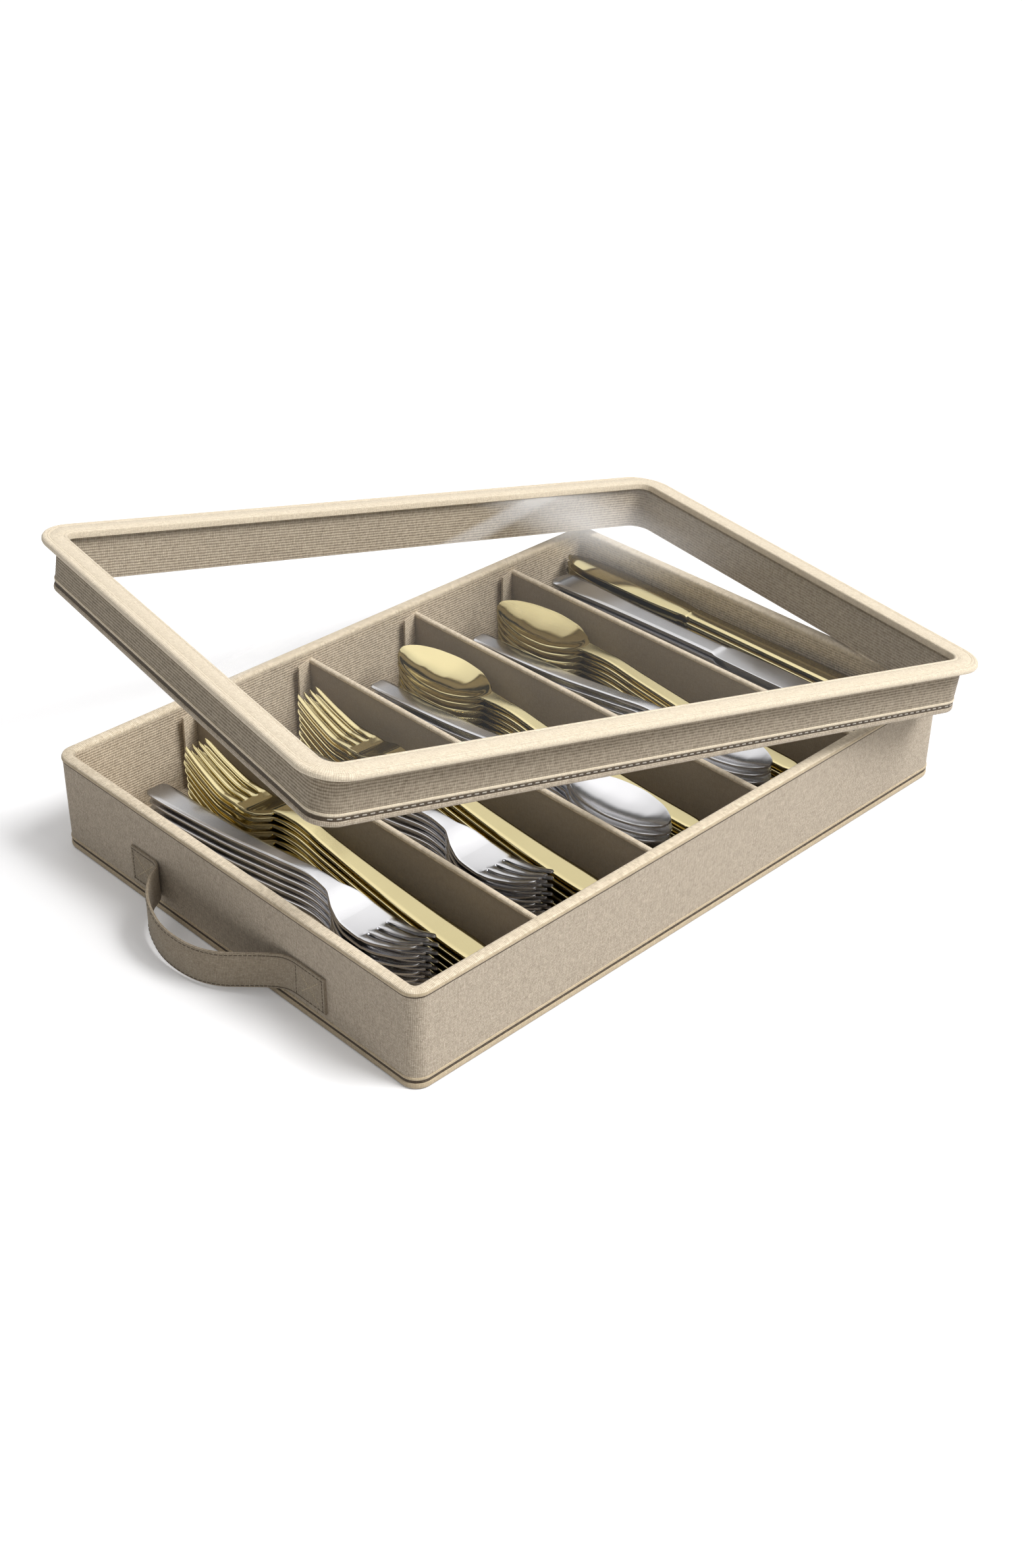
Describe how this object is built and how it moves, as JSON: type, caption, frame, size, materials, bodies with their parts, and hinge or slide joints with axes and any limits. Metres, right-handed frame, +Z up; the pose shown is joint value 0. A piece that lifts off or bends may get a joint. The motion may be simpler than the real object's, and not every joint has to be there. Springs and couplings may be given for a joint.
{
  "type": "silverware storage chest",
  "caption": "Fabric-covered flatware chest: a divided tray of stacked forks, spoons and knives, two strap handles and a lift-off lid with a clear window",
  "frame": {"origin": "middle of the tray's foot, on the surface it stands on", "axes": "+X along the tray's long side, +Y towards its back wall, +Z up"},
  "size_m": [0.4706, 0.3683, 0.1598],
  "materials": {
    "cover_fabric": "woven tweed",
    "trim_fabric": "ribbed weave",
    "divider_fabric": "fine vertical weave",
    "webbing": "stitched webbing",
    "board": "plain",
    "window": "clear",
    "silver": "satin polished",
    "gold": "polished"
  },
  "bodies": {
    "tray": {"divider_1_board": "board", "divider_1_flap": "divider_fabric", "divider_1_skin": "divider_fabric", "divider_2_board": "board", "divider_2_flap": "divider_fabric", "divider_2_skin": "divider_fabric", "divider_3_board": "board", "divider_3_flap": "divider_fabric", "divider_3_skin": "divider_fabric", "divider_4_board": "board", "divider_4_flap": "divider_fabric", "divider_4_skin": "divider_fabric", "left_strap_back_tab": "webbing", "left_strap_front_tab": "webbing", "right_strap_back_tab": "webbing", "right_strap_front_tab": "webbing", "tray_back_board": "board", "tray_floor_board": "board", "tray_foot_cover": "cover_fabric", "tray_front_board": "board", "tray_high_bead": "trim_fabric", "tray_left_board": "board", "tray_lining": "cover_fabric", "tray_low_bead": "trim_fabric", "tray_outer_cover": "cover_fabric", "tray_right_board": "board", "tray_rim": "trim_fabric"},
    "lid": {"lid_back_board": "board", "lid_frame_board": "board", "lid_frame_cover": "trim_fabric", "lid_front_board": "board", "lid_high_bead": "trim_fabric", "lid_left_board": "board", "lid_lining": "cover_fabric", "lid_low_bead": "trim_fabric", "lid_outer_cover": "cover_fabric", "lid_right_board": "board", "lid_window": "window"},
    "left_strap": {"left_strap_loop": "webbing"},
    "right_strap": {"right_strap_loop": "webbing"},
    "stack_gold_forks_bay_1": {"gold_forks_bay_1": "gold"},
    "stack_gold_forks_bay_2": {"gold_forks_bay_2": "gold"},
    "stack_gold_knives_bay_5": {"gold_knives_bay_5": "gold"},
    "stack_gold_spoons_bay_3": {"gold_spoons_bay_3": "gold"},
    "stack_gold_spoons_bay_4": {"gold_spoons_bay_4": "gold"},
    "stack_silver_forks_bay_1": {"silver_forks_bay_1": "silver"},
    "stack_silver_forks_bay_2": {"silver_forks_bay_2": "silver"},
    "stack_silver_knives_bay_5": {"silver_knives_bay_5": "silver"},
    "stack_silver_spoons_bay_3": {"silver_spoons_bay_3": "silver"},
    "stack_silver_spoons_bay_4": {"silver_spoons_bay_4": "silver"}
  },
  "joints": [
    {"name": "lid_lift", "type": "slide", "parent": "tray", "child": "lid", "axis": [0, 0, 1], "range_m": [0, 0.15]},
    {"name": "left_strap_swing", "type": "hinge", "parent": "tray", "child": "left_strap", "pos_m": [-0.2011, 0, 0.0315], "axis": [0, 1, 0], "range_deg": [0, 50]},
    {"name": "right_strap_swing", "type": "hinge", "parent": "tray", "child": "right_strap", "pos_m": [0.2011, 0, 0.0315], "axis": [0, -1, 0], "range_deg": [0, 50]},
    {"name": "gold_forks_bay_1_lift", "type": "slide", "parent": "tray", "child": "stack_gold_forks_bay_1", "axis": [0, 0, 1], "range_m": [0, 0.03]},
    {"name": "gold_forks_bay_2_lift", "type": "slide", "parent": "tray", "child": "stack_gold_forks_bay_2", "axis": [0, 0, 1], "range_m": [0, 0.03]},
    {"name": "gold_knives_bay_5_lift", "type": "slide", "parent": "tray", "child": "stack_gold_knives_bay_5", "axis": [0, 0, 1], "range_m": [0, 0.015]},
    {"name": "gold_spoons_bay_3_lift", "type": "slide", "parent": "tray", "child": "stack_gold_spoons_bay_3", "axis": [0, 0, 1], "range_m": [0, 0.03]},
    {"name": "gold_spoons_bay_4_lift", "type": "slide", "parent": "tray", "child": "stack_gold_spoons_bay_4", "axis": [0, 0, 1], "range_m": [0, 0.03]},
    {"name": "silver_forks_bay_1_lift", "type": "slide", "parent": "tray", "child": "stack_silver_forks_bay_1", "axis": [0, 0, 1], "range_m": [0, 0.03]},
    {"name": "silver_forks_bay_2_lift", "type": "slide", "parent": "tray", "child": "stack_silver_forks_bay_2", "axis": [0, 0, 1], "range_m": [0, 0.03]},
    {"name": "silver_knives_bay_5_lift", "type": "slide", "parent": "tray", "child": "stack_silver_knives_bay_5", "axis": [0, 0, 1], "range_m": [0, 0.03]},
    {"name": "silver_spoons_bay_3_lift", "type": "slide", "parent": "tray", "child": "stack_silver_spoons_bay_3", "axis": [0, 0, 1], "range_m": [0, 0.03]},
    {"name": "silver_spoons_bay_4_lift", "type": "slide", "parent": "tray", "child": "stack_silver_spoons_bay_4", "axis": [0, 0, 1], "range_m": [0, 0.03]}
  ]
}
